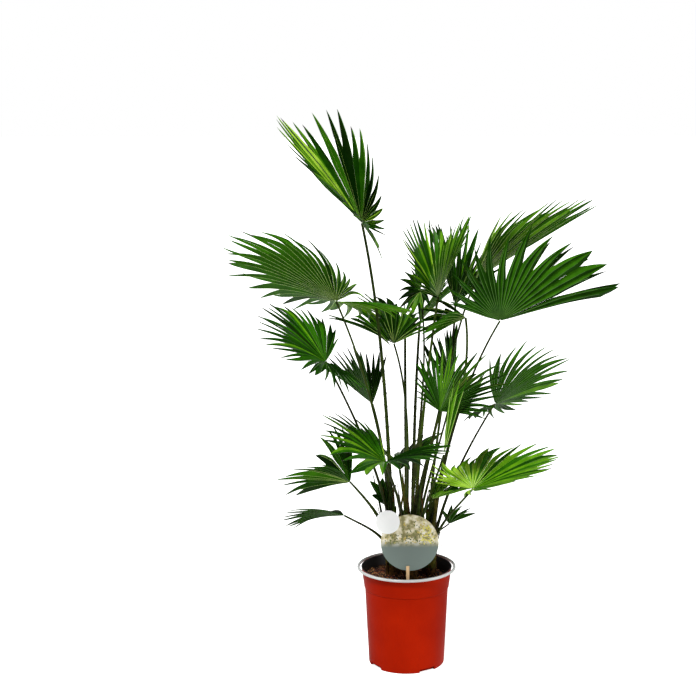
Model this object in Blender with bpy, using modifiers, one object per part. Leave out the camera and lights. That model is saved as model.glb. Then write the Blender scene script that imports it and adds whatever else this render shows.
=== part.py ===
"""A young Chinese fan palm in a nursery pot, with its round label on a stick.

The clump grows from four short stems. Each frond is two solids: a petiole, one
tapering limb that leaves its stem upright and bends out, and a blade, one thin
fan whose outline is cut to the rib between its leaflets. Metres, +Z up. The
origin is the middle of the pot's flat underside, and -Y is the front.
"""
import itertools
import math
import random
from collections import namedtuple

import bmesh
import bpy
import numpy as np
from mathutils import Vector
from mathutils.bvhtree import BVHTree

# The pot
POT_HEIGHT = 0.213
RIM_RADIUS = 0.105
RIM_WIDTH = 0.0056
RIM_DROP = 0.0060
COLLAR_RADIUS = 0.0954
COLLAR_FOOT_RADIUS = 0.0900
COLLAR_FOOT_HEIGHT = 0.167
BODY_TOP_RADIUS = 0.0885
STEP_DROP = 0.0014
BASE_RADIUS = 0.0805
WALL = 0.0020
FLOOR = 0.0100
POT_STEPS = 32
FOOT_NOTCHES = 4
FIRST_NOTCH = math.radians(34)
NOTCH_WIDTH = 0.038
NOTCH_DEPTH = 0.009
NOTCH_HEIGHT = 0.0080

# The soil, and the gap that touching solids keep
GAP = 0.0003
SOIL_TOP = 0.193
SOIL_FLAT = 0.070
SOIL_EDGE_DROP = 0.004

# The label: a card cut as a large and a small disc, behind a wooden stick
CARD_RADIUS = 0.060
CARD_CENTRE = (0.0066, 0.286)
DISC_RADIUS = 0.025
DISC_CENTRE = (-0.0388, 0.330)
CARD_THICK = 0.0012
CARD_FRONT = -0.0815
STICK_WIDTH = 0.0066
STICK_THICK = 0.0020
STICK_TOP = 0.2365
STICK_FOOT = 0.165
STICK_ASIDE = 0.004
STICK_PLACE = (CARD_CENTRE[0] - STICK_ASIDE, CARD_FRONT - GAP - STICK_THICK / 2)

# The stems
STEM_HEIGHT = 0.046
STEM_FOOT_RADIUS = 0.0165
STEM_TOP_RADIUS = 0.0135
STEM_SIDES = 12
STEMS = {
    "left": (-0.028, 0.000),
    "back": (0.010, 0.032),
    "right": (0.048, 0.004),
    "front": (0.011, -0.034),
}

# The petioles
PETIOLE_BASE = 0.0032
PETIOLE_TIP = 0.0017
PETIOLE_STUB = 0.005
PETIOLE_POINTS = 8
MITRE = 1.18
SWELL = 1.04
ORDER_TRIES = 400
SEAT_START = 0.014
SEAT_STEP = 0.0001
RING_SPOTS = 12
LEAST_RING = 0.006

# The blades
BLADE_THICK = 0.0034
SMALL_BLADE_THICK = 0.0016
SMALL_REACH = 0.11
SHORTENING = 0.60
CUPPING = math.radians(15)
STEEPEST_FOLD = math.radians(80)
PALM_SHARE = 0.22
SPLIT_SHARES = (0.42, 0.56)
FINGER_WIDTH = 0.74
WAIST_SHARE = 0.55
RIB_STEPS = 10
CLEARANCE = 0.0042
SPOT_SPACING = 0.003
FINGER_TRIES = (1.0, 0.85, 0.70)

# Each frond: its stem, its hub (where petiole and blade meet), the heading, rise
# and roll of its blade in degrees, how far each half folds up from the midrib,
# the reach of its longest leaflet, the angle it fans through, how its tips hang,
# its number of leaflets, and how far off the midrib its longest leaflet stands.
# Heading 0 is to the right and 90 to the back.
Frond = namedtuple("Frond", "name stem hub heading rise roll fold reach spread droop leaflets lean")
FRONDS = [
    Frond("top", "left", (-0.092, 0.020, 0.939), 145, 52, -43, 60, 0.296, 280, 0.20, 24, 26),
    Frond("wide_left", "left", (-0.141, -0.090, 0.790), 130, 6, 29, 8, 0.320, 306, 0.40, 26, 0),
    Frond("inner_left", "back", (-0.027, 0.100, 0.674), 165, 25, 14, 40, 0.170, 246, 0.40, 20, 0),
    Frond("mid_left", "left", (-0.160, -0.140, 0.676), 225, 30, -33, 5, 0.197, 240, 0.40, 22, 0),
    Frond("dark_left", "left", (-0.072, 0.040, 0.554), 140, 26, 13, 54, 0.163, 130, 0.05, 16, 0),
    Frond("front", "front", (-0.043, -0.140, 0.472), -103, 12, -13, 21, 0.215, 276, 0.28, 24, 0),
    Frond("low_left", "left", (-0.115, -0.100, 0.420), 130, -15, -27, 45, 0.187, 240, 0.39, 18, 0),
    Frond("lowest_left", "left", (-0.129, -0.060, 0.338), 155, -6, 15, 15, 0.147, 104, 0.62, 14, 0),
    Frond("high_right", "right", (0.149, 0.120, 0.812), 2, 33, -7, 17, 0.318, 130, 0.13, 18, 0),
    Frond("broad_right", "right", (0.195, 0.020, 0.735), 0, 15, -12, 55, 0.272, 300, 0.06, 26, 0),
    Frond("upper_middle", "back", (0.067, 0.080, 0.778), 72, 31, -5, 60, 0.225, 262, 0.20, 20, 0),
    Frond("small_middle", "back", (0.030, 0.160, 0.779), 240, -15, -37, 40, 0.100, 220, 0.40, 12, 0),
    Frond("upright_middle", "back", (0.110, 0.260, 0.737), 150, 68, -5, 58, 0.208, 140, 0.30, 14, 0),
    Frond("curled_middle", "right", (0.125, 0.060, 0.736), 150, -25, -50, 55, 0.122, 215, 0.34, 14, 0),
    Frond("mid_right", "front", (0.068, -0.075, 0.562), 57, 50, 31, 36, 0.175, 196, 0.40, 20, -30),
    Frond("spear", "front", (0.075, -0.120, 0.481), -30, 70, 20, 66, 0.180, 30, 0.08, 4, 0),
    Frond("far_right", "right", (0.186, 0.020, 0.559), 35, 14, -45, 8, 0.208, 212, 0.31, 24, -10),
    Frond("low_right", "right", (0.136, -0.100, 0.406), 28, 23, -2, 3, 0.212, 264, 0.17, 24, 0),
    Frond("small_low", "front", (0.054, -0.060, 0.374), 35, 10, 34, 50, 0.100, 240, 0.11, 12, 0),
    Frond("seedling_right", "front", (0.090, 0.000, 0.303), 10, 25, -20, 40, 0.066, 200, 0.40, 8, 0),
    Frond("seedling_left", "left", (-0.043, 0.000, 0.344), 143, 60, -34, 44, 0.067, 150, 0.25, 6, 0),
    Frond("behind_middle", "back", (0.100, 0.140, 0.561), 50, 80, -42, 45, 0.157, 105, 0.30, 10, 0),
    Frond("back_high", "back", (0.030, 0.250, 0.700), 82, 5, 15, 58, 0.200, 240, 0.20, 20, 0),
    Frond("back_left", "back", (-0.003, 0.240, 0.672), 88, 15, -3, 34, 0.200, 206, 0.36, 18, 0),
    Frond("back_right", "right", (0.108, 0.200, 0.485), 82, 8, 6, 56, 0.170, 236, 0.28, 18, 0),
    Frond("back_low", "back", (-0.015, 0.200, 0.370), 98, 6, 4, 36, 0.188, 206, 0.38, 18, 0),
]

UP = Vector((0, 0, 1))


def srgb(code):
    """A Principled colour from an sRGB hex value."""
    parts = [int(code[i:i + 2], 16) / 255 for i in (0, 2, 4)]
    linear = [c / 12.92 if c <= 0.04045 else ((c + 0.055) / 1.055) ** 2.4 for c in parts]
    return (*linear, 1.0)


def material(name, code, roughness, metallic=0.0):
    mat = bpy.data.materials.new(name)
    mat.use_nodes = True
    shader = mat.node_tree.nodes["Principled BSDF"]
    shader.inputs["Base Color"].default_value = srgb(code)
    shader.inputs["Roughness"].default_value = roughness
    shader.inputs["Metallic"].default_value = metallic
    mat.diffuse_color = srgb(code)
    return mat


def add_object(name, data, mat, collection):
    obj = bpy.data.objects.new(name, data)
    if mat:
        data.materials.append(mat)
    collection.objects.link(obj)
    return obj


def turned(name, profile, steps, mat, collection):
    """A solid of revolution: the profile is (radius, height) pairs from axis to axis."""
    mesh = bpy.data.meshes.new(name)
    edges = [(i, i + 1) for i in range(len(profile) - 1)]
    mesh.from_pydata([(r, 0, z) for r, z in profile], edges, [])
    obj = add_object(name, mesh, mat, collection)
    screw = obj.modifiers.new("Turn", "SCREW")
    screw.steps = steps
    screw.render_steps = steps
    screw.use_merge_vertices = True
    screw.merge_threshold = 0.00005
    screw.use_normal_calculate = True
    return obj


def box(name, centre, size, collection):
    mesh = bpy.data.meshes.new(name)
    bm = bmesh.new()
    bmesh.ops.create_cube(bm, size=1.0)
    bmesh.ops.scale(bm, vec=size, verts=bm.verts)
    bm.to_mesh(mesh)
    bm.free()
    obj = add_object(name, mesh, None, collection)
    obj.location = centre
    return obj


def cut(obj, cutter):
    cutter.hide_render = True
    cutter.display_type = "WIRE"
    tool = obj.modifiers.new("Cut " + cutter.name, "BOOLEAN")
    tool.operation = "DIFFERENCE"
    tool.object = cutter


def inner_radius(height):
    """The pot's inside radius at a height: two cones that meet just under the step."""
    bend = COLLAR_FOOT_HEIGHT - STEP_DROP
    if height < bend:
        outer = BASE_RADIUS + (BODY_TOP_RADIUS - BASE_RADIUS) * height / bend
    else:
        share = (height - bend) / (POT_HEIGHT - RIM_DROP - bend)
        outer = BODY_TOP_RADIUS + (COLLAR_RADIUS - BODY_TOP_RADIUS) * share
    return outer - WALL


def build_pot(mat, parts, cutters):
    """A thrown-over rim, a collar, a step under it, and a body on four feet."""
    under_rim = POT_HEIGHT - RIM_DROP
    mouth = RIM_RADIUS - RIM_WIDTH
    bend = COLLAR_FOOT_HEIGHT - STEP_DROP
    profile = [
        (0, FLOOR),
        (inner_radius(FLOOR) - 0.004, FLOOR),
        (inner_radius(FLOOR + 0.004), FLOOR + 0.004),
        (inner_radius(bend), bend),
        (inner_radius(under_rim), under_rim),
        (mouth, POT_HEIGHT - 0.0010),
        (mouth + 0.0012, POT_HEIGHT),
        (RIM_RADIUS - 0.0014, POT_HEIGHT),
        (RIM_RADIUS, POT_HEIGHT - 0.0016),
        (RIM_RADIUS, under_rim + 0.0008),
        (RIM_RADIUS - 0.0012, under_rim),
        (COLLAR_RADIUS, under_rim),
        (COLLAR_FOOT_RADIUS, COLLAR_FOOT_HEIGHT),
        (BODY_TOP_RADIUS, bend),
        (BASE_RADIUS, 0.0014),
        (BASE_RADIUS - 0.0012, 0),
        (0, 0),
    ]
    pot = turned("pot", profile, POT_STEPS, mat, parts)
    for i in range(FOOT_NOTCHES):
        turn = FIRST_NOTCH + i * math.tau / FOOT_NOTCHES
        reach = BASE_RADIUS - NOTCH_DEPTH + 0.010
        place = (reach * math.cos(turn), reach * math.sin(turn), 0)
        notch = box(f"notch_{i}", place, (0.020, NOTCH_WIDTH, 2 * NOTCH_HEIGHT), cutters)
        notch.rotation_euler.z = turn
        cut(pot, notch)
    return pot


def build_soil(mat, parts, cutters):
    """The root ball under the soil's surface, with the slot that the stick stands in."""
    edge = SOIL_TOP - SOIL_EDGE_DROP
    bend = COLLAR_FOOT_HEIGHT - STEP_DROP
    profile = [
        (0, SOIL_TOP),
        (SOIL_FLAT, SOIL_TOP),
        (inner_radius(edge) - GAP, edge),
        (inner_radius(bend) - GAP, bend),
        (inner_radius(FLOOR + 0.004) - 2 * GAP, FLOOR + 0.004 + GAP),
        (inner_radius(FLOOR) - 0.004 - GAP, FLOOR + GAP),
        (0, FLOOR + GAP),
    ]
    soil = turned("soil", profile, POT_STEPS, mat, parts)
    depth = SOIL_TOP - STICK_FOOT + 0.010
    size = (STICK_WIDTH + 2 * GAP, STICK_THICK + 2 * GAP, depth)
    centre = (STICK_PLACE[0], STICK_PLACE[1], STICK_FOOT - GAP + depth / 2)
    slot = box("stick_slot", centre, size, cutters)
    cut(soil, slot)
    return soil


def build_label(card_mat, stick_mat, parts):
    """The card's outline is two arcs, where its small disc laps its large one."""
    across = Vector(DISC_CENTRE) - Vector(CARD_CENTRE)
    apart = across.length
    chord = (apart ** 2 + CARD_RADIUS ** 2 - DISC_RADIUS ** 2) / (2 * apart)
    half_angle = math.acos(chord / CARD_RADIUS)
    disc_half = math.acos((apart - chord) / DISC_RADIUS)
    toward = math.atan2(across.y, across.x)
    outline = []
    for i in range(33):
        turn = toward + half_angle + (math.tau - 2 * half_angle) * i / 32
        outline.append((CARD_CENTRE[0] + CARD_RADIUS * math.cos(turn),
                        CARD_CENTRE[1] + CARD_RADIUS * math.sin(turn)))
    for i in range(1, 16):
        turn = toward + math.pi + disc_half + (math.tau - 2 * disc_half) * i / 16
        outline.append((DISC_CENTRE[0] + DISC_RADIUS * math.cos(turn),
                        DISC_CENTRE[1] + DISC_RADIUS * math.sin(turn)))
    curve = bpy.data.curves.new("label_card", "CURVE")
    curve.dimensions = "2D"
    curve.fill_mode = "BOTH"
    curve.extrude = CARD_THICK / 2
    spline = curve.splines.new("POLY")
    spline.points.add(len(outline) - 1)
    for point, (x, z) in zip(spline.points, outline):
        point.co = (x, z, 0, 1)
    spline.use_cyclic_u = True
    card = add_object("label_card", curve, card_mat, parts)
    card.rotation_euler.x = math.pi / 2
    card.location.y = CARD_FRONT + CARD_THICK / 2

    size = (STICK_WIDTH, STICK_THICK, STICK_TOP - STICK_FOOT)
    centre = (*STICK_PLACE, (STICK_TOP + STICK_FOOT) / 2)
    stick = box("label_stick", centre, size, parts)
    stick.data.materials.append(stick_mat)
    return card, stick


def build_stems(mat, parts):
    for name, (x, y) in STEMS.items():
        mesh = bpy.data.meshes.new("stem_" + name)
        bm = bmesh.new()
        bmesh.ops.create_cone(bm, cap_ends=True, segments=STEM_SIDES, radius1=STEM_FOOT_RADIUS,
                              radius2=STEM_TOP_RADIUS, depth=STEM_HEIGHT)
        bm.to_mesh(mesh)
        bm.free()
        stem = add_object("stem_" + name, mesh, mat, parts)
        stem.location = (x, y, SOIL_TOP + GAP + STEM_HEIGHT / 2)


def foot_wish(frond, stem, mean_turn):
    """The side of its stem that suits a petiole: low ones stand on the side they lean to,
    steep ones on the far side, and neighbours in the order of their headings."""
    lean = Vector((frond.hub[0] - stem[0], frond.hub[1] - stem[1]))
    climb = math.atan2(frond.hub[2] - SOIL_TOP, lean.length)
    heading = lean.normalized()
    sideways = Vector((-math.sin(mean_turn), math.cos(mean_turn)))
    return heading * math.cos(2 * climb) + sideways * heading.dot(sideways)


def crossing(route_a, route_b):
    """Whether two petioles come closer than the gap anywhere on their way."""
    spots_a, spots_b = petiole_samples(route_a), petiole_samples(route_b)
    centres_a, centres_b = (np.array([spot for spot, _ in spots]) for spots in (spots_a, spots_b))
    radii_a, radii_b = (np.array([radius for _, radius in spots]) for spots in (spots_a, spots_b))
    apart = np.linalg.norm(centres_a[:, None] - centres_b[None], axis=2)
    return bool((apart < (radii_a[:, None] + radii_b[None]) * SWELL + GAP).any())


def petiole_feet():
    """Where each petiole stands on the ring round its stem's top: the order nearest to
    the wishes in which no two petioles of the stem cross."""
    feet = {}
    for name, stem in STEMS.items():
        own = [f for f in FRONDS if f.stem == name]
        leans = [Vector((f.hub[0] - stem[0], f.hub[1] - stem[1])).normalized() for f in own]
        mean = sum(leans, Vector((0, 0)))
        mean_turn = math.atan2(mean.y, mean.x)
        wishes = [foot_wish(f, stem, mean_turn) for f in own]
        step = math.tau / len(own)
        slots = [Vector((math.cos(mean_turn + i * step), math.sin(mean_turn + i * step)))
                 for i in range(len(own))]
        apart = [[(wish - slot).length_squared for slot in slots] for wish in wishes]
        orders = sorted(itertools.permutations(range(len(own))),
                        key=lambda order: sum(apart[i][k] for i, k in enumerate(order)))
        ring = max((PETIOLE_BASE * SWELL + GAP) / math.sin(step / 2), LEAST_RING)
        for order in orders[:ORDER_TRIES]:
            standing = [Vector((*(Vector(stem) + slots[k] * ring), SOIL_TOP + STEM_HEIGHT + 2 * GAP))
                        for k in order]
            routes = [petiole_route(f, foot) for f, foot in zip(own, standing)]
            if not any(crossing(a, b) for a, b in itertools.combinations(routes, 2)):
                break
        feet.update({f.name: foot for f, foot in zip(own, standing)})
    return feet


def blade_axes(frond):
    """The midrib's direction, the direction across the blade, and its upper normal."""
    heading, rise, roll = (math.radians(a) for a in (frond.heading, frond.rise, frond.roll))
    along = Vector((math.cos(heading) * math.cos(rise), math.sin(heading) * math.cos(rise), math.sin(rise)))
    level = Vector((-math.sin(heading), math.cos(heading), 0))
    across = level * math.cos(roll) + along.cross(level) * math.sin(roll)
    return along, across, along.cross(across)


def rib(frond, theta):
    """Points from the hub to a leaflet's tip, for the leaflet at theta from the midrib."""
    along, across, normal = blade_axes(frond)
    off = abs(theta)
    from_longest = abs(theta - math.radians(frond.lean))
    fold = min(math.radians(frond.fold) + CUPPING * (off / (math.pi / 2)) ** 1.5, STEEPEST_FOLD)
    start = (along * math.cos(theta) + across * math.sin(theta) * math.cos(fold)
             + normal * math.sin(off) * math.sin(fold))
    length = frond.reach * (1 - SHORTENING * (from_longest / math.radians(150)) ** 1.3)
    point = Vector(frond.hub)
    points = [point.copy()]
    for i in range(RIB_STEPS):
        sag = frond.droop * ((i + 0.5) / RIB_STEPS) ** 1.5
        point = point + (start - UP * sag).normalized() * length / RIB_STEPS
        points.append(point.copy())
    return points


def at_share(points, share):
    place = share * (len(points) - 1)
    i = min(int(place), len(points) - 2)
    return points[i].lerp(points[i + 1], place - i)


def petiole_route(frond, foot):
    """A short upright foot, then a smooth bend to the hub."""
    hub = Vector(frond.hub)
    root, foot = foot, foot + UP * PETIOLE_STUB
    span = (hub - foot).length
    leave = (UP + (hub - foot).normalized() * 0.8).normalized()
    arrive = ((hub - foot).normalized() + blade_axes(frond)[0] * 0.35).normalized()
    first, second = foot + leave * span * 0.33, hub - arrive * span * 0.33
    route = [root]
    for i in range(PETIOLE_POINTS):
        t = i / (PETIOLE_POINTS - 1)
        route.append(foot * (1 - t) ** 3 + first * 3 * t * (1 - t) ** 2
                     + second * 3 * t * t * (1 - t) + hub * t ** 3)
    return route


def petiole_radius(share):
    return PETIOLE_TIP + (PETIOLE_BASE - PETIOLE_TIP) * (1 - share) ** 1.5


def seated_route(route, blade):
    """The route with its tip run up to its own blade, until it stands GAP clear of it."""
    end, before = route[-1], route[-2]
    toward = (end - before).normalized()
    side = toward.orthogonal().normalized()
    other = toward.cross(side)
    ring = [Vector()]
    for j in range(RING_SPOTS):
        turn = j * math.tau / RING_SPOTS
        edge = (side * math.cos(turn) + other * math.sin(turn)) * PETIOLE_TIP
        ring += [edge, edge * 0.67, edge * 0.33]
    back = SEAT_START
    while back > 0:
        tip = end - toward * (back - SEAT_STEP)
        spots = [tip - toward * k * PETIOLE_TIP + spot for k in range(4) for spot in ring]
        if any(blade.find_nearest(spot, GAP)[0] is not None for spot in spots):
            break
        back -= SEAT_STEP
    return route[:-1] + [end - toward * back], back


def build_petiole(frond, route, mat, parts):
    curve = bpy.data.curves.new("petiole_" + frond.name, "CURVE")
    curve.dimensions = "3D"
    curve.bevel_depth = 1.0
    curve.bevel_resolution = 1
    curve.use_fill_caps = True
    curve.resolution_u = 1
    spline = curve.splines.new("POLY")
    spline.points.add(len(route) - 1)
    for i, (point, place) in enumerate(zip(spline.points, route)):
        point.co = (*place, 1)
        point.radius = petiole_radius(i / (len(route) - 1))
    return add_object("petiole_" + frond.name, curve, mat, parts)


def petiole_samples(route):
    """Spots along a petiole with its radius there, to test blades against."""
    spots = []
    for i in range(len(route) - 1):
        for k in range(12):
            share = (i + k / 12) / (len(route) - 1)
            spots.append((route[i].lerp(route[i + 1], k / 12), petiole_radius(share)))
    return spots


def spots_on(face):
    """Spots spread over a triangle or a quad, no further apart than SPOT_SPACING."""
    corners = face if len(face) == 4 else (*face, face[-1])
    tall = max((corners[0] - corners[3]).length, (corners[1] - corners[2]).length)
    wide = max((corners[0] - corners[1]).length, (corners[3] - corners[2]).length)
    rows, columns = math.ceil(tall / SPOT_SPACING), math.ceil(wide / SPOT_SPACING)
    spots = []
    for i in range(rows + 1):
        left = corners[0].lerp(corners[3], i / rows)
        right = corners[1].lerp(corners[2], i / rows)
        spots += [left.lerp(right, k / columns) for k in range(columns + 1)]
    return spots


def blocked(faces, taken):
    """Whether any of the faces comes too near to a surface or limb that is already there."""
    for face in faces:
        centre = sum(face, Vector()) / len(face)
        around = max((corner - centre).length for corner in face)
        near = [(tree, margin) for tree, margin in taken
                if tree.find_nearest(centre, around + margin)[0] is not None]
        if not near:
            continue
        for spot in spots_on(face):
            if any(tree.find_nearest(spot, margin)[0] is not None for tree, margin in near):
                return True
    return False


def finger_faces(frond, theta, left, right, split, reach):
    """The free end of one leaflet: a quad and a point, beyond where it leaves the palm."""
    points = rib(frond, theta)
    near, far = (rib(frond, theta + step) for step in (-0.02, 0.02))
    tip = at_share(points, reach)
    waist_share = split + (reach - split) * WAIST_SHARE
    waist = at_share(points, waist_share)
    side = (at_share(far, waist_share) - at_share(near, waist_share)).normalized()
    half = (right - left).length * FINGER_WIDTH / 2
    low, high = waist - side * half, waist + side * half
    return [(left, right, high, low), (low, high, tip)]


def blade_faces(frond, taken):
    """The blade's mid-surface as faces: a palm round the hub, then free leaflets."""
    rng = random.Random(frond.name)
    count = frond.leaflets
    spread = math.radians(frond.spread)
    edges = [spread * (j / count - 0.5) for j in range(count + 1)]
    splits = [rng.uniform(*SPLIT_SHARES) for _ in edges]
    splits[0] = splits[-1] = SPLIT_SHARES[0]
    hub = Vector(frond.hub)
    ribs = [rib(frond, theta) for theta in edges]
    inner = [at_share(points, PALM_SHARE) for points in ribs]
    outer = [at_share(points, split) for points, split in zip(ribs, splits)]

    palm = []
    for i in range(count):
        palm.append([(hub, inner[i], inner[i + 1]), (inner[i], outer[i], outer[i + 1], inner[i + 1])])
    free = [not blocked(faces, taken) for faces in palm]
    middle = count // 2
    if not free[middle]:
        print("PALM BLOCKED at its midrib:", frond.name)
        free[middle] = True
    first = last = middle
    while first > 0 and free[first - 1]:
        first -= 1
    while last < count - 1 and free[last + 1]:
        last += 1

    faces = []
    whole = 0
    for i in range(first, last + 1):
        faces += palm[i]
        theta = (edges[i] + edges[i + 1]) / 2
        split = (splits[i] + splits[i + 1]) / 2
        for reach in FINGER_TRIES:
            finger = finger_faces(frond, theta, outer[i], outer[i + 1], split, reach)
            if not blocked(finger, taken):
                faces += finger
                whole += 1
                break
    print(f"blade_{frond.name}: leaflets {first}..{last} of {count}, {whole} whole")
    return faces


def faces_to_mesh(name, faces):
    mesh = bpy.data.meshes.new(name)
    bm = bmesh.new()
    for face in faces:
        bm.faces.new([bm.verts.new(corner) for corner in face])
    bmesh.ops.remove_doubles(bm, verts=bm.verts, dist=0.00002)
    bmesh.ops.recalc_face_normals(bm, faces=bm.faces)
    bm.to_mesh(mesh)
    bm.free()
    return mesh


def mesh_tree(mesh):
    return BVHTree.FromPolygons([v.co for v in mesh.vertices], [p.vertices for p in mesh.polygons])


def evaluated_mesh(obj):
    bpy.context.view_layer.update()
    return obj.evaluated_get(bpy.context.evaluated_depsgraph_get()).to_mesh()


def half_thickness(frond):
    return (SMALL_BLADE_THICK if frond.reach < SMALL_REACH else BLADE_THICK) / 2


def build_blade(frond, mesh, mat, parts):
    blade = add_object("blade_" + frond.name, mesh, mat, parts)
    solid = blade.modifiers.new("Thickness", "SOLIDIFY")
    solid.thickness = 2 * half_thickness(frond)
    solid.offset = 0
    return blade


def tube_tree(route):
    """A petiole's axis as thin triangles, so that its distance can be measured."""
    corners, faces = [], []
    for i, point in enumerate(route):
        corners += [point, point + Vector((1e-5, 0, 0))]
        if i:
            k = 2 * i
            faces.append((k - 2, k, k + 1))
    return BVHTree.FromPolygons(corners, faces)


def limb_trees(route):
    """The axis in stretches, each with the petiole's greatest radius on it."""
    last = len(route) - 1
    trees = []
    for first, end in ((0, 2), (2, 4), (4, last)):
        trees.append((tube_tree(route[first:end + 1]), petiole_radius(first / last)))
    return trees


def main():
    for obj in list(bpy.data.objects):
        bpy.data.objects.remove(obj)
    parts = bpy.data.collections.new("potted_fan_palm")
    cutters = bpy.data.collections.new("cutters")
    for collection in (parts, cutters):
        bpy.context.scene.collection.children.link(collection)

    plastic = material("terracotta_plastic", "C2360F", 0.38)
    peat = material("peat", "3A2119", 0.95)
    card = material("printed_card", "A9B3A2", 0.5)
    stick = material("stick_wood", "D9B48A", 0.7)
    sheath = material("stem_sheath", "5E5A2A", 0.8)
    green_limb = material("petiole_green", "4F6B1E", 0.5)
    leaf = material("leaf_green", "2F6B1C", 0.45)

    build_pot(plastic, parts, cutters)
    build_soil(peat, parts, cutters)
    build_label(card, stick, parts)
    build_stems(sheath, parts)

    feet = petiole_feet()
    routes = {f.name: petiole_route(f, feet[f.name]) for f in FRONDS}
    limbs = {name: limb_trees(route) for name, route in routes.items()}
    sheets = []
    for frond in sorted(FRONDS, key=lambda f: -f.reach):
        half = half_thickness(frond)
        taken = [(tree, margin + half) for tree, margin in sheets]
        for name, trees in limbs.items():
            if name != frond.name:
                taken += [(tree, radius * MITRE + half + GAP) for tree, radius in trees]
        mesh = faces_to_mesh("blade_" + frond.name, blade_faces(frond, taken))
        blade = build_blade(frond, mesh, leaf, parts)
        sheets.append((mesh_tree(mesh), CLEARANCE - half))
        route, back = seated_route(routes[frond.name], mesh_tree(evaluated_mesh(blade)))
        print(f"petiole_{frond.name}: tip {back * 1000:.1f} mm from the hub")
        build_petiole(frond, route, green_limb, parts)


main()
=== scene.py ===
# %% [markdown]
# # A potted fan palm
# The CAD model gives the plant's true sizes: a pot, its soil, four short stems,
# and one stalk (petiole) and one thin blade for each leaf. Here each of them gets
# the surface that the eye expects, in the same place and within the same reach.

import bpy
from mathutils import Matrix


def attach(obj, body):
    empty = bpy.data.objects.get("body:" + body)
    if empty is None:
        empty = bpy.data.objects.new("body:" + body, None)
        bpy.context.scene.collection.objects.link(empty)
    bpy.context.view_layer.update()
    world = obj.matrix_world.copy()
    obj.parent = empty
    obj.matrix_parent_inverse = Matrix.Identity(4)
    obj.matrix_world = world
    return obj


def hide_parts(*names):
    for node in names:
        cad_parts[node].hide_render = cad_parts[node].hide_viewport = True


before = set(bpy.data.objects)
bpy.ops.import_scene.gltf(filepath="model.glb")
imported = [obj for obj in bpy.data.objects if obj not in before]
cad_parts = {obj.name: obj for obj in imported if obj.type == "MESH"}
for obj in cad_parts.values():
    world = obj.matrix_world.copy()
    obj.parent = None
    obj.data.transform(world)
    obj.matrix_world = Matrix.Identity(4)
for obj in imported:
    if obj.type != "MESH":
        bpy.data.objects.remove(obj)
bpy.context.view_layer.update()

import math
import random
from collections import namedtuple

import bmesh
import bpy
import numpy as np
from mathutils import Vector
from mathutils.bvhtree import BVHTree

# %% [markdown]
# ## Camera
# The pot's rim, a known 21 cm, gave the camera's distance and height. The plant
# stands right of the picture's middle, so the lens is shifted a little.

# %% The camera
PICTURE = 696
FOCAL_PIXELS = 1461.6
SHIFT_PIXELS = -58.5
SENSOR_MM = 36
VIEW_PITCH = math.radians(9.26)
VIEW_DISTANCE, VIEW_HEIGHT = 3.0, 1.17

camera_data = bpy.data.cameras.new("camera")
camera_data.sensor_width = SENSOR_MM
camera_data.lens = FOCAL_PIXELS / PICTURE * SENSOR_MM
camera_data.shift_x = SHIFT_PIXELS / PICTURE
camera = bpy.data.objects.new("camera", camera_data)
camera.location = (0, -VIEW_DISTANCE, VIEW_HEIGHT)
camera.rotation_euler = (math.pi / 2 - VIEW_PITCH, 0, 0)
bpy.context.scene.collection.objects.link(camera)
bpy.context.scene.camera = camera
print("lens", round(camera_data.lens, 1), "mm")

# %% [markdown]
# ## Colour and nodes
# Colours are read off as sRGB hex and turned to linear light by one function, and
# one small function adds a shader node with its settings and links. Nothing on a
# plant is one flat colour, so one more function lets a colour drift in patches.

# %% Colour and node helpers
def linear(code):
    """A linear colour from an sRGB hex value."""
    parts = [int(code[i:i + 2], 16) / 255 for i in (0, 2, 4)]
    return (*[c / 12.92 if c <= 0.04045 else ((c + 0.055) / 1.055) ** 2.4 for c in parts], 1.0)


def add_node(tree, kind, inputs=None, **settings):
    """A new node: settings are its attributes, inputs are values or (node, output) links."""
    node = tree.nodes.new(kind)
    for key, value in settings.items():
        setattr(node, key, value)
    for socket, value in (inputs or {}).items():
        if isinstance(value, tuple) and isinstance(value[0], bpy.types.Node):
            tree.links.new(value[0].outputs[value[1]], node.inputs[socket])
        else:
            node.inputs[socket].default_value = value
    return node


print("half of full sRGB is", round(linear("808080")[0], 2), "in linear light")

# %% Material helpers
PATCH_START, PATCH_END = 0.32, 0.68


def new_material(name, roughness, ior=1.45, **values):
    """A Principled material, with the values that are the same all over its surface."""
    mat = bpy.data.materials.new(name)
    mat.use_nodes = True
    shader = mat.node_tree.nodes["Principled BSDF"]
    for socket, value in {"Roughness": roughness, "IOR": ior, **values}.items():
        shader.inputs[socket].default_value = value
    return mat, mat.node_tree, shader


def mottle(tree, shader, colours, size_mm):
    """Base colour that drifts from the first to the last, in patches of about size_mm."""
    place = add_node(tree, "ShaderNodeTexCoord")
    noise = add_node(tree, "ShaderNodeTexNoise",
                     {"Vector": (place, "Object"), "Scale": 1000 / size_mm, "Detail": 3.0})
    ramp = add_node(tree, "ShaderNodeValToRGB", {"Fac": (noise, "Fac")})
    for stop, at, code in zip(ramp.color_ramp.elements, (PATCH_START, PATCH_END), colours):
        stop.position = at
        stop.color = linear(code)
    tree.links.new(ramp.outputs["Color"], shader.inputs["Base Color"])
    return noise


def roughen(tree, shader, height, distance, strength=0.6):
    """Bump from a height output, distance in metres."""
    bump = add_node(tree, "ShaderNodeBump",
                    {"Height": height, "Distance": distance, "Strength": strength})
    tree.links.new(bump.outputs["Normal"], shader.inputs["Normal"])


def mottled(name, roughness, colours, size_mm, bump=0, ior=1.45, **values):
    """A drifting colour as a whole material; its patches stand up by bump metres."""
    mat, tree, shader = new_material(name, roughness, ior, **values)
    noise = mottle(tree, shader, colours, size_mm)
    if bump:
        roughen(tree, shader, (noise, "Fac"), bump)
    return mat


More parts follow.
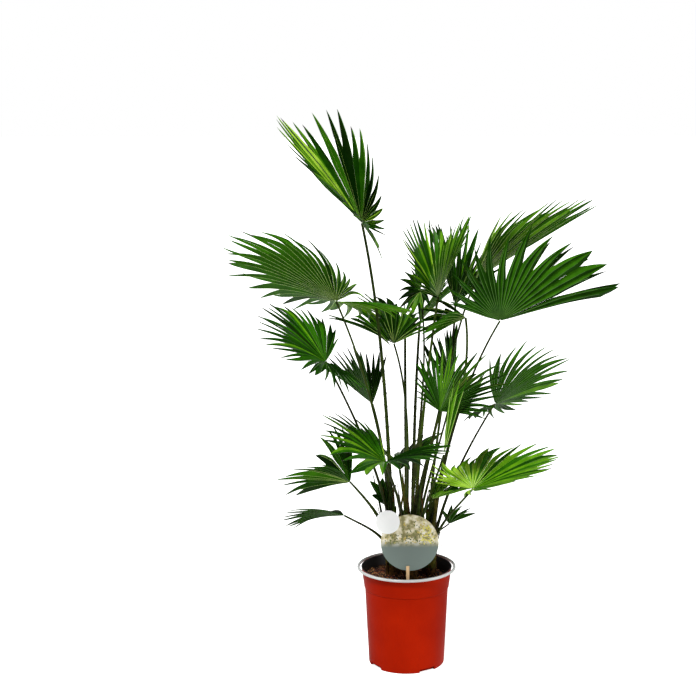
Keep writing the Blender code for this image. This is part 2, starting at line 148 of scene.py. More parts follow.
# %% [markdown]
# ## Light
# A studio picture on white. Panels near the plant could light it, but suns are
# simpler: they reach every leaf alike, and their width alone makes a shadow soft.
# A high one from the left front draws the pleats, a low soft one from the right
# fills the stalks, and one from behind edges the upper leaves. The even surround is
# weak, so that the clump stays dark. What the lens sees behind the plant is pure
# white, as on a cut-out picture, and the plain Standard view keeps the greens and
# the red pot as clean as a print.

# %% World
SURROUND = 0.20

bpy.context.scene.view_settings.view_transform = "Standard"
world = bpy.data.worlds.new("white_surround")
world.use_nodes = True
sky = world.node_tree.nodes["Background"]
sky.inputs["Color"].default_value = (1, 1, 1, 1)
sight = add_node(world.node_tree, "ShaderNodeLightPath")
level = add_node(world.node_tree, "ShaderNodeMapRange",
                 {"Value": (sight, "Is Camera Ray"), "To Min": SURROUND, "To Max": 1.0})
world.node_tree.links.new(level.outputs["Result"], sky.inputs["Strength"])
bpy.context.scene.world = world
print("the surround lights the plant at", SURROUND)

# %% Lamps
PLANT_MIDDLE = Vector((0, 0, 0.6))


def add_sun(name, place, power, softness):
    """A far lamp at place, aimed at the plant; softness is its width in degrees."""
    data = bpy.data.lights.new(name, "SUN")
    data.energy = power
    data.angle = math.radians(softness)
    lamp = bpy.data.objects.new(name, data)
    lamp.location = place
    lamp.rotation_euler = (PLANT_MIDDLE - Vector(place)).to_track_quat("-Z", "Y").to_euler()
    bpy.context.scene.collection.objects.link(lamp)
    print(name, power)


add_sun("key_lamp", (-1.0, -2.8, 4.6), 4.2, 14)
add_sun("side_lamp", (3.2, -1.4, 1.9), 1.1, 30)
add_sun("back_lamp", (1.6, 2.2, 3.8), 1.2, 25)

# %% [markdown]
# ## The floor
# Matt white paper, swept wide, so that the pot stands on something and no horizon
# shows behind it. To the lens it glows a little, like the light table that such
# pictures are taken on, which keeps the shadows pale. It throws no such glow up
# into the leaves, whose undersides stay dark.

# %% Floor
PAPER_GLOW = 0.80
BELOW_POT = 0.0005

paper, tree, shader = new_material("white_paper", 0.9)
mottle(tree, shader, ("DADAD8", "DEDEDD"), 400)
shader.inputs["Emission Color"].default_value = (1, 1, 1, 1)
sight = add_node(tree, "ShaderNodeLightPath")
glow = add_node(tree, "ShaderNodeMath", {0: (sight, "Is Camera Ray"), 1: PAPER_GLOW},
                operation="MULTIPLY")
tree.links.new(glow.outputs["Value"], shader.inputs["Emission Strength"])

floor_mesh = bpy.data.meshes.new("floor")
corners = [(-30, -30, 0), (30, -30, 0), (30, 60, 0), (-30, 60, 0)]
floor_mesh.from_pydata(corners, [], [(0, 1, 2, 3)])
floor_mesh.materials.append(paper)
floor = bpy.data.objects.new("floor", floor_mesh)
floor.location.z = -BELOW_POT
bpy.context.scene.collection.objects.link(floor)
print("floor of", paper.name)

# %% [markdown]
# ## The living colours
# A palm leaflet is a waxy sheet: deep green and smooth, with a soft shine from its
# cuticle (IOR about 1.45). Old leaves are dark, young ones lime. So the leaves take
# five greens, dealt out leaflet by leaflet, and three duller ones underneath, where
# there is less wax. The veins stand about 1 mm apart, too fine to show, so a soft
# swell along each leaflet stands for them.

# %% Leaf materials
WAX_SHINE = 0.07
WAX_TINT = "DCF06A"
LEAF_PATCH_MM = 30
SWELL_MM = 12.57
# At a scale of 1, the wave texture repeats at this distance.
WAVE_STEP = math.tau / 20
LEAF_GREENS = {
    "leaf_old": ("051A02", "0A2703"),
    "leaf_dark": ("0B2F02", "164203"),
    "leaf_full": ("1C4C04", "2B6206"),
    "leaf_light": ("3E6E09", "5A8A12"),
    "leaf_young": ("6C9A1A", "98BC3C"),
}
UNDERSIDES = {
    "leaf_under_dark": ("0D2C03", "184006"),
    "leaf_under": ("204C07", "30620A"),
    "leaf_under_young": ("477814", "5E901C"),
}


def leaf_material(name, colours, roughness):
    """Waxy green. The waxy film is thin and tints what it mirrors, so little white shows."""
    mat, tree, shader = new_material(name, roughness)
    shader.inputs["Specular IOR Level"].default_value = WAX_SHINE
    shader.inputs["Specular Tint"].default_value = linear(WAX_TINT)
    mottle(tree, shader, colours, LEAF_PATCH_MM)
    place = add_node(tree, "ShaderNodeTexCoord")
    swell = add_node(tree, "ShaderNodeTexWave",
                     {"Vector": (place, "UV"), "Scale": 1000 / SWELL_MM * WAVE_STEP,
                      "Distortion": 0.4, "Detail": 1.0}, bands_direction="X")
    roughen(tree, shader, (swell, "Fac"), 0.0004, 0.35)
    return mat


leaf_set = [leaf_material(name, pair, 0.33) for name, pair in LEAF_GREENS.items()]
leaf_set += [leaf_material(name, pair, 0.55) for name, pair in UNDERSIDES.items()]
FIRST_UNDERSIDE = len(LEAF_GREENS)
print(len(leaf_set), "greens")

# %% [markdown]
# Ribs are firm and pale on a young leaf, dull green on an old one. Many fine tips
# have dried dark brown, where there is no wax left to shine.

# %% Ribs and dry tips
RIB_SLOT = len(leaf_set)
leaf_set.append(mottled("pale_rib", 0.5, ("8FB846", "B8D474"), 20))
DIM_RIB_SLOT = len(leaf_set)
leaf_set.append(mottled("dim_rib", 0.5, ("2B5510", "45701C"), 20))
DRY_SLOT = len(leaf_set)
leaf_set.append(mottled("dry_tip", 0.7, ("14140C", "2E2A1A"), 8))
print(len(leaf_set), "leaf finishes")

# %% [markdown]
# ## The leaves' table
# Each row is one leaf: its stem, its hub (where stalk and blade meet), the heading,
# rise and roll of its blade in degrees, how far its halves fold up, the reach of its
# longest leaflet, the angle it fans through, how its tips hang, its number of
# leaflets in the CAD blade and how far off the midrib the longest stands.

# %% Sizes shared with the CAD model
SOIL_TOP = 0.193
STEM_RADIUS = 0.0155
STEMS = {"left": (-0.028, 0.000), "back": (0.010, 0.032),
         "right": (0.048, 0.004), "front": (0.011, -0.034)}
UP = np.array((0.0, 0.0, 1.0))

Frond = namedtuple("Frond", "name stem hub heading rise roll fold reach spread droop leaflets lean")
FRONDS = [
    Frond("top", "left", (-0.092, 0.020, 0.939), 145, 52, -43, 60, 0.296, 280, 0.20, 24, 26),
    Frond("wide_left", "left", (-0.141, -0.090, 0.790), 130, 6, 29, 8, 0.320, 306, 0.40, 26, 0),
    Frond("inner_left", "back", (-0.027, 0.100, 0.674), 165, 25, 14, 40, 0.170, 246, 0.40, 20, 0),
    Frond("mid_left", "left", (-0.160, -0.140, 0.676), 225, 30, -33, 5, 0.197, 240, 0.40, 22, 0),
    Frond("dark_left", "left", (-0.072, 0.040, 0.554), 140, 26, 13, 54, 0.163, 130, 0.05, 16, 0),
    Frond("front", "front", (-0.043, -0.140, 0.472), -103, 12, -13, 21, 0.215, 276, 0.28, 24, 0),
    Frond("low_left", "left", (-0.115, -0.100, 0.420), 130, -15, -27, 45, 0.187, 240, 0.39, 18, 0),
    Frond("lowest_left", "left", (-0.129, -0.060, 0.338), 155, -6, 15, 15, 0.147, 104, 0.62, 14, 0),
    Frond("high_right", "right", (0.149, 0.120, 0.812), 2, 33, -7, 17, 0.318, 130, 0.13, 18, 0),
    Frond("broad_right", "right", (0.195, 0.020, 0.735), 0, 15, -12, 55, 0.272, 300, 0.06, 26, 0),
    Frond("upper_middle", "back", (0.067, 0.080, 0.778), 72, 31, -5, 60, 0.225, 262, 0.20, 20, 0),
    Frond("small_middle", "back", (0.030, 0.160, 0.779), 240, -15, -37, 40, 0.100, 220, 0.40, 12, 0),
    Frond("upright_middle", "back", (0.110, 0.260, 0.737), 150, 68, -5, 58, 0.208, 140, 0.30, 14, 0),
    Frond("curled_middle", "right", (0.125, 0.060, 0.736), 150, -25, -50, 55, 0.122, 215, 0.34, 14, 0),
    Frond("mid_right", "front", (0.068, -0.075, 0.562), 57, 50, 31, 36, 0.175, 196, 0.40, 20, -30),
    Frond("spear", "front", (0.075, -0.120, 0.481), -30, 70, 20, 66, 0.180, 30, 0.08, 4, 0),
    Frond("far_right", "right", (0.186, 0.020, 0.559), 35, 14, -45, 8, 0.208, 212, 0.31, 24, -10),
    Frond("low_right", "right", (0.136, -0.100, 0.406), 28, 23, -2, 3, 0.212, 264, 0.17, 24, 0),
    Frond("small_low", "front", (0.054, -0.060, 0.374), 35, 10, 34, 50, 0.100, 240, 0.11, 12, 0),
    Frond("seedling_right", "front", (0.090, 0.000, 0.303), 10, 25, -20, 40, 0.066, 200, 0.40, 8, 0),
    Frond("seedling_left", "left", (-0.043, 0.000, 0.344), 143, 60, -34, 44, 0.067, 150, 0.25, 6, 0),
    Frond("behind_middle", "back", (0.100, 0.140, 0.561), 50, 80, -42, 45, 0.157, 105, 0.30, 10, 0),
    Frond("back_high", "back", (0.030, 0.250, 0.700), 82, 5, 15, 58, 0.200, 240, 0.20, 20, 0),
    Frond("back_left", "back", (-0.003, 0.240, 0.672), 88, 15, -3, 34, 0.200, 206, 0.36, 18, 0),
    Frond("back_right", "right", (0.108, 0.200, 0.485), 82, 8, 6, 56, 0.170, 236, 0.28, 18, 0),
    Frond("back_low", "back", (-0.015, 0.200, 0.370), 98, 6, 4, 36, 0.188, 206, 0.38, 18, 0),
]
print(len(FRONDS), "leaves")

# %% [markdown]
# ## How a blade grows
# The rule is the CAD model's: ribs leave the hub in a fan, both halves folded up
# from the midrib, the outer ones shorter, and each sags more the further it runs.
# Each rib could be a curve object with its own handles, but a chain of short steps
# is simpler: NumPy walks all the ribs of a blade outward together.

# %% The rib rule
STATIONS = 22
SHORTENING = 0.60
CUPPING = math.radians(15)
STEEPEST_FOLD = math.radians(80)
QUARTER_TURN = math.pi / 2
SHORTEST_AT = math.radians(150)


def blade_axes(frond):
    """Unit vectors along the midrib, across the blade and out of its upper side."""
    heading, rise, roll = (math.radians(a) for a in (frond.heading, frond.rise, frond.roll))
    flat = math.cos(rise)
    along = np.array((math.cos(heading) * flat, math.sin(heading) * flat, math.sin(rise)))
    level = np.array((-math.sin(heading), math.cos(heading), 0.0))
    across = level * math.cos(roll) + np.cross(along, level) * math.sin(roll)
    return along, across, np.cross(along, across)


def ribs(frond, thetas):
    """Points (leaflet, station, xyz) from the hub to the tips."""
    along, across, normal = blade_axes(frond)
    off = np.abs(thetas)
    cupped = math.radians(frond.fold) + CUPPING * (off / QUARTER_TURN) ** 1.5
    fold = np.minimum(cupped, STEEPEST_FOLD)
    start = (np.outer(np.cos(thetas), along) + np.outer(np.sin(thetas) * np.cos(fold), across)
             + np.outer(np.sin(off) * np.sin(fold), normal))
    from_longest = np.abs(thetas - math.radians(frond.lean))
    step = frond.reach * (1 - SHORTENING * (from_longest / SHORTEST_AT) ** 1.3) / STATIONS
    points = [np.repeat(np.array([frond.hub]), len(thetas), 0)]
    for i in range(STATIONS):
        sag = frond.droop * ((i + 0.5) / STATIONS) ** 1.5
        heading = start - UP * sag
        heading /= np.linalg.norm(heading, axis=1)[:, None]
        points.append(points[-1] + heading * step[:, None])
    return np.stack(points, 1)


highest = ribs(FRONDS[0], np.array([0.0]))[0, -1]
print("the top leaf's midrib ends", round(1000 * highest[2]), "mm up")

# %% [markdown]
# Where two blades would meet, the CAD model left leaflets out or made them shorter.
# Asking its mesh how near it comes to each rib gives the same gaps here.

# %% What the CAD blade kept
# The CAD blade counts as there when its mesh is within this distance of a rib.
NEAR = 0.003
OPEN_SHARE = 0.32


def kept_reaches(frond):
    """For each of the CAD blade's leaflets: the share it reaches, or 0 if it isn't there."""
    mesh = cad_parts["blade_" + frond.name].data
    tree = BVHTree.FromPolygons([v.co for v in mesh.vertices], [p.vertices for p in mesh.polygons])
    spread = math.radians(frond.spread)
    thetas = spread * ((np.arange(frond.leaflets) + 0.5) / frond.leaflets - 0.5)

    def near(line, share):
        return tree.find_nearest(Vector(line[round(share * STATIONS)]), NEAR)[0] is not None

    shares = []
    for line in ribs(frond, thetas):
        if near(line, OPEN_SHARE):
            shares.append(next((share for share in (1.0, 0.85, 0.70) if near(line, share)), 0.5))
        else:
            shares.append(0.0)
    return shares


KEPT = {frond.name: kept_reaches(frond) for frond in FRONDS}
for name, shares in KEPT.items():
    print(name, " ".join(f"{share:.2f}" for share in shares))

# %% [markdown]
# ## One pleated leaflet
# A fan palm's blade is folded like paper: along each rib it is a V with the rib at
# the bottom. Near the hub neighbours are joined edge to edge, further out they part
# at uneven places and run out to thin points, and a broad leaflet keeps two or three
# pleats to its tip. A flat card with a bump map would lose the zigzag of light and
# dark, so the folds are real. Each leaflet is a closed strip, thin as a lens, so that
# its upper side, its underside and its ribs can each have their own finish.

# %% The leaflet's cross-section
PLEAT_DEPTH = 0.30
RIB_HALF = 0.0007
LEAF_THICK = 0.0006
FOLD_POINTS = ((0.0, 1.0), (0.25, 0.14), (0.5, -1.0), (0.5, -1.0), (0.75, 0.14))
POINTS = len(FOLD_POINTS)


def taper(x):
    """Width of the free end, from 1 where it parts to 0 at its point."""
    x = np.clip(x, 0, 1)
    return (1 - x ** 1.8) * (1 - 0.15 * np.clip(x / 0.22, 0, 1))


def unit(rows):
    """Each row made one long."""
    return rows / np.maximum(np.linalg.norm(rows, axis=1), 1e-9)[:, None]


def pleated(middle, sides, normal, pleats):
    """Sections of a folded strip between two edges, which are given from its middle."""
    chord = sides[1] - sides[0]
    width = np.linalg.norm(chord, axis=1)[:, None]
    along = np.linspace(0, 1, STATIONS + 1)
    deep = PLEAT_DEPTH * width / pleats * normal * 0.5
    rib_half = np.minimum(RIB_HALF * (1 - 0.6 * along)[:, None], width * 0.2 / pleats)
    thick = np.minimum(LEAF_THICK, width * 0.25) * normal
    top, under = [], []
    for q in range(pleats):
        for part, rise in FOLD_POINTS:
            u = (q + part) / pleats
            flat = middle + sides[0] * (1 - u) * (1 - 2 * u) + sides[1] * u * (2 * u - 1)
            if part == 0.5:
                flat = flat + unit(chord) * rib_half * (-1 if len(top) % POINTS == 2 else 1)
            top.append(flat + deep * rise)
            under.append(flat + deep * rise - thick * (1.6 if part == 0.5 else 1.0))
    top.append(middle + sides[1] + deep)
    return np.stack(top + under[:0:-1], 1)


print("halfway out, a free end keeps", round(float(taper(0.5)), 2), "of its width")

# %% [markdown]
# The two edges follow the ribs' fan up to where the leaflet parts from its
# neighbours. From there on the edges close in to a point, and the free end is swept
# towards the midrib, swung aside and hung down, more the further out it is.

# %% The leaflet's length
HUB_SHARE = 0.012


def leaflet_rings(centre, edges, parted, reach, pleats, midrib, sweep, hang, swing):
    """The leaflet's sections (station, ring, xyz), between its two edge lines."""
    shares = np.linspace(HUB_SHARE, reach, STATIONS + 1)
    along = np.linspace(0, 1, STATIONS + 1)

    def sample(line, at=shares):
        return np.stack([np.interp(at, along, line[:, k]) for k in range(3)], 1)

    middle = sample(centre)
    sides = []
    for line, split in zip(edges, parted):
        split = min(split, reach * 0.9)
        at_split = sample(line, [split]) - sample(centre, [split])
        x = (shares - split) / (reach - split)
        narrowed = at_split * taper(x)[:, None]
        sides.append(np.where((x > 0)[:, None], narrowed, sample(line) - middle))
    tangent = unit(np.gradient(middle, axis=0))
    normal = unit(np.cross(tangent, unit(sides[1] - sides[0])))
    free = np.clip((shares - min(parted)) / (reach - min(parted)), 0, 1)[:, None]
    length = np.linalg.norm(centre[-1] - centre[0])
    inward = midrib - tangent * (tangent @ midrib)[:, None]
    bend = inward * sweep + np.cross(tangent, UP) * swing - UP * hang
    return pleated(middle + bend * free ** 2 * length, sides, normal, pleats)


def ring_faces(rings, size):
    """Quads round a chain of rings, and a face over each end."""
    faces = []
    for k in range(rings - 1):
        for i in range(size):
            a, b = k * size + i, k * size + (i + 1) % size
            faces.append((a, a + size, b + size, b))
    last = (rings - 1) * size
    faces.append(tuple(range(size)))
    faces.append(tuple(range(last + size - 1, last - 1, -1)))
    return faces


print(len(ring_faces(STATIONS + 1, 2 * POINTS)), "faces on a leaflet of one pleat")

# %% [markdown]
# The CAD blade's leaflets are broad and unfolded. This table says what is finer
# here: how many leaflets for each of the CAD's, the pleats on one leaflet, how far
# its free end sweeps towards the midrib, and the tone of the blade's green, from 0
# (old and dark) to 4 (young).

# %% What is finer here
Fine = namedtuple("Fine", "leaflets pleats sweep tone")
FINE = {
    "top": Fine(1.15, 2, 0.10, 2.4),
    "wide_left": Fine(1.75, 1, 0.16, 3.7),
    "inner_left": Fine(1.5, 1, 0.06, 2.1),
    "mid_left": Fine(1.6, 1, 0.08, 1.2),
    "dark_left": Fine(1.05, 2, 0.02, 0.2),
    "front": Fine(1.35, 1, 0.06, 1.7),
    "low_left": Fine(0.9, 2, 0.10, 2.1),
    "lowest_left": Fine(0.8, 2, 0.10, 1.6),
    "high_right": Fine(1.15, 2, 0.12, 2.6),
    "broad_right": Fine(1.0, 2, 0.08, 0.5),
    "upper_middle": Fine(1.9, 1, 0.04, 2.2),
    "small_middle": Fine(1.3, 1, 0.04, 1.8),
    "upright_middle": Fine(1.6, 1, 0.04, 1.8),
    "curled_middle": Fine(1.1, 1, 0.05, 2.6),
    "mid_right": Fine(1.25, 2, 0.05, 1.4),
    "spear": Fine(1.5, 1, 0.0, 3.4),
    "far_right": Fine(1.0, 2, 0.12, 1.6),
    "low_right": Fine(1.25, 1, 0.14, 4.2),
    "small_low": Fine(1.3, 1, 0.05, 2.4),
    "seedling_right": Fine(1.1, 1, 0.02, 0.4),
    "seedling_left": Fine(0.7, 3, 0.02, 1.5),
    "behind_middle": Fine(1.2, 2, 0.03, 0.8),
    "back_high": Fine(1.3, 1, 0.06, 1.8),
    "back_left": Fine(1.2, 2, 0.06, 2.0),
    "back_right": Fine(1.3, 1, 0.06, 1.6),
    "back_low": Fine(1.1, 2, 0.08, 2.0),
}
print("tones from", min(f.tone for f in FINE.values()), "to", max(f.tone for f in FINE.values()))

# %% [markdown]
# The two flanks of a pleat differ by a painted shade: the flank that would be turned
# from light is painted one or two greens darker on top and one green darker underneath,
# and the crest often takes a painted highlight one green lighter. A vertex colour could
# do this too, but whole faces with their own finish keep the fold's edge crisp.

# %% The finish of each face
TONE_STEPS = (-1.0, -0.5, 0, 0, 0, 0.5, 1.0)
TONE_DRIFT = 0.4
PALE_RIB_TONE = 2.0
RIB_SHARE = 0.8
DRY_CHANCE = 0.6
DRY_REACH = 0.6


def leaflet_finishes(rng, blade_tone, pleats, reach, count):
    """The finish of each of the leaflet's faces, in the order of ring_faces."""
    tone = blade_tone + rng.choice(TONE_STEPS) + rng.uniform(-TONE_DRIFT, TONE_DRIFT)
    tone = min(max(round(tone), 0), FIRST_UNDERSIDE - 1)
    # Painted light: the crest face often takes a painted highlight one green lighter, and the flank
    # turned from the light a painted shade one or two greens darker.
    painted_crest_highlight = min(tone + rng.choice((0, 0, 1)), FIRST_UNDERSIDE - 1)
    shade = max(tone - rng.choice((1, 1, 2, 2)), 0)
    upper_set = (painted_crest_highlight, tone, tone, shade, shade)
    under = FIRST_UNDERSIDE + min((tone + 1) // 2, 2)
    # Painted shade underneath: the far flank of each pleat is one green darker.
    under_shade = max(under - 1, FIRST_UNDERSIDE)
    pale = blade_tone + rng.uniform(-TONE_DRIFT, TONE_DRIFT) > PALE_RIB_TONE
    rib_slot = RIB_SLOT if pale else DIM_RIB_SLOT
    is_dry = pleats == 1 and reach > DRY_REACH and rng.random() < DRY_CHANCE
    dry_from = STATIONS - 1 if is_dry else STATIONS + 1
    finishes = []
    for f in range(count):
        station, side = divmod(f, 2 * POINTS * pleats)
        is_upper = side < POINTS * pleats
        spot = side % POINTS if is_upper else (2 * POINTS * pleats - 1 - side) % POINTS
        if station >= dry_from:
            finishes.append(DRY_SLOT)
        elif spot == 2 and station < RIB_SHARE * STATIONS:
            finishes.append(rib_slot)
        elif is_upper:
            finishes.append(upper_set[spot])
        else:
            finishes.append(under if spot < 2 else under_shade)
    return finishes


print(TONE_STEPS.count(0), "in", len(TONE_STEPS), "leaflets keep their blade's tone")

# %% [markdown]
# A blade is its leaflets side by side. A seeded draw for each leaf decides where
# its edges part, how each free end hangs and which green each leaflet takes, so the
# plant is uneven as a grown one is, and yet the same at every run.

# %% One blade
POINT_SPACING = 0.004
PARTS_AT = (0.42, 0.62)
PARTS_LATE_AT = (0.66, 0.82)
LATE_CHANCE = 0.15
OUTERMOST_PARTS_AT = 0.30
ALL_PLEATS_CHANCE = 0.75


def join_parts(parts):
    """One list of vertices, faces, finishes and places from several."""
    verts, faces, finishes, places = [], [], [], []
    for v, f, m, p in parts:
        first = len(verts)
        verts += v
        faces += [tuple(i + first for i in face) for face in f]
        finishes += m
        places += p
    return verts, faces, finishes, places


def blade_parts(frond):
    """Vertices, faces, finishes and (across, along) places of one blade."""
    rng = random.Random("fine " + frond.name)
    fine = FINE[frond.name]
    spread = math.radians(frond.spread)
    count = max(4, round(frond.leaflets * fine.leaflets))
    edges = np.array([spread * (j / count - 0.5) for j in range(count + 1)])
    edges[1:-1] += np.array([rng.uniform(-0.15, 0.15) for _ in range(count - 1)]) * spread / count
    middles = (edges[1:] + edges[:-1]) / 2
    edge_lines, middle_lines = ribs(frond, edges), ribs(frond, middles)
    parting = [rng.uniform(*(PARTS_LATE_AT if rng.random() < LATE_CHANCE else PARTS_AT)) for _ in edges]
    parting[0] = parting[-1] = OUTERMOST_PARTS_AT
    midrib = blade_axes(frond)[0]
    parts = []
    for j in range(count):
        sector = min(int((middles[j] / spread + 0.5) * frond.leaflets), frond.leaflets - 1)
        reach = KEPT[frond.name][sector]
        if reach == 0:
            continue
        reach *= rng.uniform(0.93, 1.0)
        pleats = fine.pleats
        if pleats > 1 and rng.random() >= ALL_PLEATS_CHANCE:
            pleats -= 1
        hang = rng.uniform(-0.02, 0.08) * (0.5 + frond.droop)
        swing = rng.uniform(-0.04, 0.04)
        rings = leaflet_rings(middle_lines[j], edge_lines[j:j + 2], parting[j:j + 2], reach,
                              pleats, midrib, fine.sweep, hang, swing)
        size = rings.shape[1]
        strip = ring_faces(STATIONS + 1, size)
        finishes = leaflet_finishes(rng, fine.tone, pleats, reach, len(strip))
        length = np.linalg.norm(middle_lines[j][-1] - middle_lines[j][0])
        places = [(min(i, size - i) * POINT_SPACING, station / STATIONS * length)
                  for station in range(STATIONS + 1) for i in range(size)]
        parts.append((rings.reshape(-1, 3).tolist(), strip, finishes, places))
    return join_parts(parts)


# %% [markdown]
# Blades of one stem are joined into one mesh, so that the plant stays a few large
# pieces. Edges sharper than 25 degrees stay crisp, which keeps the pleats.

# %% Whole pieces
def add_piece(name, parts, materials, nodes, crease=25):
    """A visible piece that stands for the CAD nodes, with its edges crisp past crease."""
    verts, faces, finishes, places = parts
    mesh = bpy.data.meshes.new(name)
    mesh.from_pydata(verts, [], faces)
    for mat in materials:
        mesh.materials.append(mat)
    mesh.polygons.foreach_set("material_index", finishes)
    if places:
        corners = np.zeros(len(mesh.loops), int)
        mesh.loops.foreach_get("vertex_index", corners)
        layer = mesh.uv_layers.new(name="along")
        layer.uv.foreach_set("vector", np.array(places)[corners].ravel())
    mesh.shade_smooth()
    mesh.set_sharp_from_angle(angle=math.radians(crease))
    mesh.validate()
    piece = bpy.data.objects.new(name, mesh)
    bpy.context.scene.collection.objects.link(piece)
    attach(piece, "root")
    if nodes:
        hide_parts(*nodes)
    mesh.calc_loop_triangles()
    print(name, len(mesh.loop_triangles), "triangles")


for stem in STEMS:
    own = [f for f in FRONDS if f.stem == stem]
    add_piece("fronds_" + stem, join_parts([blade_parts(f) for f in own]), leaf_set,
              ["blade_" + f.name for f in own])

# %% [markdown]
# ## The stalks
# A petiole is tough and smooth, flat above and round below, green where it is young
# and brown at its foot, with short hooked spines along both edges of its lower part.
# It follows the CAD model's curve from its foot on the stem to the hub. A bevelled
# curve object would be round all over, so rings of points are set along the curve.

# %% Stalk materials
# Fibrous skin scatters what falls on it, so it mirrors less than the leaves' wax.
DULL = {"Specular IOR Level": 0.10}
stalk_set = [
    mottled("stalk_green", 0.5, ("1C2A06", "36460E"), 14, **DULL),
    mottled("stalk_olive", 0.5, ("161C05", "303A0C"), 10, **DULL),
    mottled("stalk_brown", 0.7, ("241A08", "4A3312"), 6, 0.0008, **DULL),
    mottled("spine_horn", 0.5, ("1A1208", "3B2A12"), 4, **DULL),
]
print(len(stalk_set), "stalk finishes")

# %% The stalk's line
PETIOLE_STUB = 0.005
STALK_STATIONS = 30


def stalk_line(frond):
    """The CAD petiole's curve, from the middle of its lowest face to the hub."""
    co = np.array([v.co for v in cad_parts["petiole_" + frond.name].data.vertices])
    low = co[co[:, 2] < co[:, 2].min() + 0.0005]
    root = np.array((*low[:, :2].mean(0), co[:, 2].min()))
    foot, hub = root + UP * PETIOLE_STUB, np.array(frond.hub)
    span = np.linalg.norm(hub - foot)
    toward = (hub - foot) / span
    leave, arrive = UP + toward * 0.8, toward + blade_axes(frond)[0] * 0.35
    first = foot + leave / np.linalg.norm(leave) * span * 0.33
    second = hub - arrive / np.linalg.norm(arrive) * span * 0.33
    t = np.linspace(0, 1, STALK_STATIONS)[:, None]
    curve = (foot * (1 - t) ** 3 + first * 3 * t * (1 - t) ** 2
             + second * 3 * t * t * (1 - t) + hub * t ** 3)
    return np.vstack([root[None], curve])


foot, hub = stalk_line(FRONDS[0])[[0, -1]]
print("the top leaf's stalk spans", round(1000 * np.linalg.norm(hub - foot)), "mm")

# %% Rings along a line
STALK_RING = 8
ASLANT = (0.31, 0.17, 0.93)


def tube(line, widths, depths, flat_toward=ASLANT):
    """Rings round a line: wide across and flatter along flat_toward."""
    tangent = np.gradient(line, axis=0)
    tangent /= np.linalg.norm(tangent, axis=1)[:, None]
    side = np.cross(tangent, np.array(flat_toward))
    side /= np.maximum(np.linalg.norm(side, axis=1), 1e-6)[:, None]
    upper = np.cross(side, tangent)
    turns = np.linspace(0, math.tau, STALK_RING, endpoint=False)
    rings = [line + side * (math.cos(a) * widths)[:, None] + upper * (math.sin(a) * depths)[:, None]
             for a in turns]
    return np.stack(rings, 1), side, upper


# %% Stalks with spines
PETIOLE_BASE = 0.0044
PETIOLE_TIP = 0.0025
STALK_WIDE, STALK_DEEP = 1.15, 0.85
SMALL_REACH = 0.11
SPINE_SPACING = 0.009
SPINED_SHARE = 0.62


def spine(foot, ahead, out, up):
    """A three-sided hook on the edge of a stalk, its point set a little forward."""
    return [(foot + ahead * 0.0012).tolist(), (foot - ahead * 0.0012).tolist(),
            (foot + up * 0.0008).tolist(), (foot + out + ahead * 0.001).tolist()]


def stalk_parts(frond):
    """One petiole, brown at its foot, with spines along both edges."""
    rng = random.Random("stalk " + frond.name)
    line = stalk_line(frond)
    share = np.linspace(0, 1, len(line))
    radius = PETIOLE_TIP + (PETIOLE_BASE - PETIOLE_TIP) * (1 - share) ** 1.5
    if frond.reach < SMALL_REACH:
        radius *= 0.75
    rings, side, upper = tube(line, radius * STALK_WIDE, radius * STALK_DEEP,
                              blade_axes(frond)[2] + UP * 0.2)
    verts = rings.reshape(-1, 3).tolist()
    faces = ring_faces(len(line), STALK_RING)
    brown = rng.uniform(0.02, 0.05)
    olive = rng.uniform(0.15, 0.5) if FINE[frond.name].tone > 1.9 else 0.9
    finishes = []
    for f in range(len(faces)):
        at = f // STALK_RING / len(line)
        finishes.append(2 if at < brown else 1 if at < olive else 0)
    run = np.concatenate([[0], np.cumsum(np.linalg.norm(np.diff(line, axis=0), axis=1))])
    place = 0.02
    while place < run[-1] * SPINED_SHARE:
        k = min(int(np.searchsorted(run, place)), len(line) - 2)
        ahead = (line[k + 1] - line[k]) / np.linalg.norm(line[k + 1] - line[k])
        for out in (-side[k], side[k]):
            foot = line[k] + ahead * rng.uniform(-0.004, 0.004) + out * radius[k] * 0.9
            n = len(verts)
            verts += spine(foot, ahead, out * rng.uniform(0.0018, 0.0034), upper[k])
            faces += [(n, n + 1, n + 3), (n + 1, n + 2, n + 3), (n + 2, n, n + 3), (n, n + 2, n + 1)]
            finishes += [3] * 4
        place += SPINE_SPACING * rng.uniform(0.8, 1.3)
    return verts, faces, finishes, []


add_piece("petioles", join_parts([stalk_parts(f) for f in FRONDS]), stalk_set,
          ["petiole_" + f.name for f in FRONDS], crease=50)

# %% [markdown]
# ## The clump
# Each stem is wrapped in the feet of old leaves: stiff brown and green sheaths that
# stand up round the living stalks and fray into fibre. A hair system could lay the
# fibre, but then it wouldn't be mesh in the export. So the sheaths are flat tapering
# tubes of random height, set round the stem, with thin fibres laid over them.

# %% Sheath materials
sheath_set = [
    mottled("sheath_green", 0.6, ("1E2E06", "3E5212"), 9, 0.0008, **DULL),
    mottled("sheath_olive", 0.65, ("2C2C0A", "585218"), 8, 0.0008, **DULL),
    mottled("sheath_brown", 0.8, ("1C1206", "563A16"), 5, 0.001, **DULL),
]
SHEATH_BROWN = len(sheath_set) - 1
print(len(sheath_set), "sheath finishes")

# %% One sheath
SHEATHS_PER_STEM = 15
SHEATH_STATIONS = 12
SHEATH_HEIGHTS = (0.09, 0.225)
SHEATH_LEANS = (0.02, 0.16)
BROWN_TIP_CHANCE = 0.3


